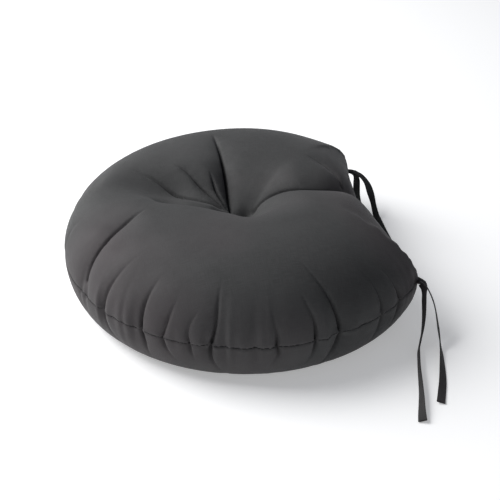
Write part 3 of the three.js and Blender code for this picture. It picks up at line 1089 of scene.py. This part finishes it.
def add_panel(whole, name, keep, node):
    """One panel of the finished cover, cut off at the seam and given its thickness."""
    mesh = whole.data.copy()
    work = bmesh.new()
    work.from_mesh(mesh)
    mark = work.faces.layers.int["panel"]
    bmesh.ops.delete(work, geom=[f for f in work.faces if f[mark] != keep], context="FACES")
    work.to_mesh(mesh)
    work.free()
    piece = bpy.data.objects.new(name, mesh)
    bpy.context.collection.objects.link(piece)
    thickness = piece.modifiers.new("Thickness", "SOLIDIFY")
    thickness.thickness = CLOTH_THICKNESS
    thickness.offset = -1
    apply_modifiers(piece)
    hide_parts(node)
    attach(piece, "cushion")


def joined_faces(top, bottom, rim_count):
    """Both panels' triangles, numbered like the joined points, and all facing out."""
    to_whole = np.arange(len(bottom.flat)) + len(top.flat) - rim_count
    to_whole[:rim_count] = np.arange(rim_count)
    return np.concatenate([top.faces, to_whole[bottom.faces][:, ::-1]])


def whole_cover(top, bottom, points, faces, chains, rim_count):
    """The cover as one smoothed mesh, with its panels marked and its cloth laid out."""
    whole = add_object("cover", points, faces, COVER_CLOTH)
    mesh = whole.data
    panel = np.repeat((0, 1), (len(top.faces), len(bottom.faces)))
    mesh.attributes.new("panel", "INT", "FACE").data.foreach_set("value", panel)
    corner_uv = np.concatenate([
        top.cloth[top.faces].reshape(-1, 2), bottom.cloth[bottom.faces][:, ::-1].reshape(-1, 2),
    ])
    mesh.uv_layers.new(name="cloth").data.foreach_set("uv", corner_uv.ravel())
    edge_creases(mesh, chains, rim_count)
    smoothing = whole.modifiers.new("Smoothing", "SUBSURF")
    smoothing.levels = smoothing.render_levels = 1
    apply_modifiers(whole)
    return whole


def add_cover():
    top, bottom, rim_count = make_panels()
    start = joined(top.formed, bottom.formed, rim_count)
    slack = joined(top.unfilled, bottom.unfilled, rim_count)
    faces = joined_faces(top, bottom, rim_count)
    points = inflated(start, slack, faces, goal_weights(top, bottom, rim_count))
    chains = whole_chains((top, bottom), rim_count)
    whole = whole_cover(top, bottom, points, faces, chains, rim_count)
    carve(whole.data, chains, rim_count)
    add_fold_attribute(whole.data)
    add_panel(whole, "cover_top", 0, "top_panel")
    add_panel(whole, "cover_bottom", 1, "bottom_panel")
    seam = vertex_positions(whole.data)[:rim_count]
    bpy.data.objects.remove(whole)
    return points, faces, slit_depths(points, chains, rim_count, FILLING_REACH), seam


COVER_POINTS, COVER_FACES, COVER_SLITS, SEAM_LINE = add_cover()

# ---- filling ----
FILLING_INSET = 4 * MM
INSET_AT_SLITS = 1.5  # more than the inset, in depths of the slit nearby
FILLING_ROUNDS = 2  # of smoothing, for the directions that it is inset in


def add_filling():
    """The fibre inside follows the cover a little way in."""
    piece = add_object("fibre_fill", COVER_POINTS, COVER_FACES, FIBRE)
    mesh = piece.data
    inset = FILLING_INSET + INSET_AT_SLITS * COVER_SLITS
    inside = COVER_POINTS - soft_normals(mesh, FILLING_ROUNDS) * inset[:, None]
    mesh.vertices.foreach_set("co", inside.ravel())
    mesh.update()
    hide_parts("fibre_filling")
    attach(piece, "cushion")


add_filling()

# ---- threads ----
THREAD_SIDES = 6
SEAM_THREAD = 0.3 * MM  # radius of the machine seam's thread
SEAM_STITCH = 4.2 * MM
CLOSING_THREAD = 0.5 * MM
CLOSING_STITCH = 6.4 * MM
STITCH_RISE = 0.75 * MM  # how far a thread goes above and below the seam's groove
THREAD_STEP = 0.5 * MM
CLOSING_MIDDLE = math.radians(102)  # from +Y, clockwise from above
CLOSING_HALF = math.radians(15)
SEAM_BREAK = math.radians(0.5)  # between one thread and the next,
CORNER_BREAK = math.radians(1.7)  # and between a thread and the corner


def add_thread(name, line, outward, radius, loop=False):
    """A round thread along the line. outward is one way for all of it, or one for each point."""
    if loop:
        tangent = unit(np.roll(line, -1, axis=0) - np.roll(line, 1, axis=0))
    else:
        tangent = unit(np.gradient(line, axis=0))
    across = unit(np.cross(tangent, outward))
    around = np.cross(across, tangent)
    angle = np.arange(THREAD_SIDES) / THREAD_SIDES * 2 * np.pi
    rings = line[:, None] + radius * (
        across[:, None] * np.cos(angle)[:, None] + around[:, None] * np.sin(angle)[:, None]
    )
    faces = tube_faces(len(line), THREAD_SIDES, loop)
    uv = np.stack([
        np.repeat(lengths_along(line), THREAD_SIDES), np.tile(angle * radius, len(line)),
    ], axis=1)
    piece = add_object(name, rings.reshape(-1, 3), faces, THREAD, uv)
    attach(piece, "cushion")
    return piece


def seam_stretch(start, end):
    """The seam's line between two angles, clockwise from above, and the way out from it."""
    around = np.arctan2(SEAM_LINE[:, 0], SEAM_LINE[:, 1] - TUFT_Y)
    after_start = (around - start) % (2 * np.pi)
    order = np.argsort(after_start)
    order = order[after_start[order] < (end - start) % (2 * np.pi)]
    line = resampled(SEAM_LINE[order], THREAD_STEP)
    tangent = unit(np.gradient(line, axis=0))
    return line, unit(np.cross(tangent, (0, 0, 1)) * (1, 1, 0)) * -1


def add_seam_thread(name, node, start, end, radius, stitch):
    """Stitches show where the thread comes out of the groove, once in each stitch."""
    line, outward = seam_stretch(start, end)
    along = lengths_along(line)
    rise = STITCH_RISE * np.tanh(2.5 * np.sin(2 * np.pi * along / stitch) + 0.8)
    piece = add_thread(name, line + outward * rise[:, None], outward, radius)
    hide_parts(node)


def add_seam_threads():
    closing_start, closing_end = CLOSING_MIDDLE - CLOSING_HALF, CLOSING_MIDDLE + CLOSING_HALF
    corner, inside_corner = CORNER_ANGLE + CORNER_BREAK, CORNER_ANGLE - CORNER_BREAK
    seam = (SEAM_THREAD, SEAM_STITCH)
    closing = (CLOSING_THREAD, CLOSING_STITCH)
    for name, node, start, end, kind in (
        ("seam_stitches_right", "seam_thread_right", corner, closing_start - SEAM_BREAK, seam),
        ("closing_stitches", "closing_thread", closing_start, closing_end, closing),
        ("seam_stitches_left", "seam_thread_left", closing_end + SEAM_BREAK, -corner, seam),
        ("seam_stitches_straight", "seam_thread_straight", -inside_corner, inside_corner, seam),
    ):
        add_seam_thread(name, node, start, end, *kind)


# The thread of the tuft: loops over the cover on top, the cord itself, and a knot below.
TUFT_THREAD = 0.7 * MM
LOOP_WIDTH = 7 * MM
LOOP_HEIGHT = 2.2 * MM
LOOP_SPREAD = 1.6 * MM  # how far each strand bows out from the straight line
LOOP_CROSSING = 0.8 * MM  # how far one strand is above or below that line where they cross
LOOP_POINTS = 80
TWINE_STRAND = 0.8 * MM
TWINE_COIL = 0.35 * MM  # how far the twisted strand runs from the cord's middle
TWINE_TURNS = 12
TWINE_POINTS = 160
KNOT_SIZE = 1.25 * MM
KNOT_THREAD = 0.7 * KNOT_SIZE
KNOT_POINTS = 90


def add_tuft_loops():
    """The cord goes over the cover twice: a closed figure of eight, highest in the middle."""
    turn = np.linspace(0, 2 * np.pi, LOOP_POINTS, endpoint=False)
    middle = np.array((0, TUFT_Y, TUFT_TOP_Z + TUFT_THREAD))
    line = middle + np.stack([
        LOOP_WIDTH / 2 * np.cos(turn),
        LOOP_SPREAD * np.sin(2 * turn),
        LOOP_HEIGHT / 2 * (1 - np.cos(turn) ** 4) + LOOP_CROSSING * np.sin(turn),
    ], axis=1)
    piece = add_thread("tuft_loops", line, (0, 0, 1), TUFT_THREAD, loop=True)
    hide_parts("top_tuft_stitch")


def add_tuft_cord():
    """A twisted cord, from the loops down to the knot."""
    steps = np.linspace(0, 1, TWINE_POINTS)
    turn = steps * TWINE_TURNS * 2 * np.pi
    height = TUFT_BOTTOM_Z + (TUFT_TOP_Z - TUFT_BOTTOM_Z) * steps
    line = np.stack([
        TWINE_COIL * np.cos(turn), TUFT_Y + TWINE_COIL * np.sin(turn), height,
    ], axis=1)
    piece = add_thread("tuft_twine", line, (1, 0, 0), TWINE_STRAND)
    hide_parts("tuft_cord")


def add_tuft_knot():
    """A pulled-tight overhand knot: three crossings round a ring."""
    turn = np.linspace(0, 2 * np.pi, KNOT_POINTS, endpoint=False)
    line = np.array((0, TUFT_Y, TUFT_BOTTOM_Z - 3 * KNOT_SIZE)) + KNOT_SIZE * np.stack([
        np.sin(turn) + 2 * np.sin(2 * turn),
        np.cos(turn) - 2 * np.cos(2 * turn),
        -np.sin(3 * turn),
    ], axis=1)
    piece = add_thread("tuft_knot", line, (0, 0, 1), KNOT_THREAD, loop=True)
    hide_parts("bottom_tuft_knot")


add_seam_threads()
add_tuft_loops()
add_tuft_cord()
add_tuft_knot()

# ---- light and floor ----
FLOOR_HALF = 60  # far enough out for the horizon to stay pale in low views
FLOOR_Z = -0.5 * MM


def add_floor():
    corners = [(x * FLOOR_HALF, y * FLOOR_HALF, FLOOR_Z) for x, y in ((-1, -1), (1, -1), (1, 1), (-1, 1))]
    floor = add_object("floor", corners, [(0, 1, 2, 3)])
    nodes = Nodes("pale_floor")
    nodes.put(nodes.shader, {
        "Base Color": grey(0.8), "Roughness": 0.9,
        "Emission Color": grey(1), "Emission Strength": 0.33,
    })
    floor.data.materials.append(nodes.material)


def add_area_light(name, place, size, power):
    data = bpy.data.lights.new(name, "AREA")
    data.size = size
    data.energy = power
    light = bpy.data.objects.new(name, data)
    light.location = place
    light.rotation_mode = "QUATERNION"
    light.rotation_quaternion = (VIEW_CENTRE - light.location).to_track_quat("-Z", "Y")
    bpy.context.collection.objects.link(light)


def add_light():
    add_area_light("soft_key", Vector((-0.9, -1.6, 1.7)), size=1.8, power=98)
    add_area_light("front_fill", Vector((1.6, -0.9, 1.2)), size=1.2, power=2)
    world = bpy.data.worlds.new("studio")
    world.use_nodes = True
    background = world.node_tree.nodes["Background"]
    background.inputs["Color"].default_value = (0.9, 0.96, 1.1, 1)
    background.inputs["Strength"].default_value = 0.15
    bpy.context.scene.world = world
    bpy.context.scene.view_settings.view_transform = "Standard"


add_floor()
add_light()
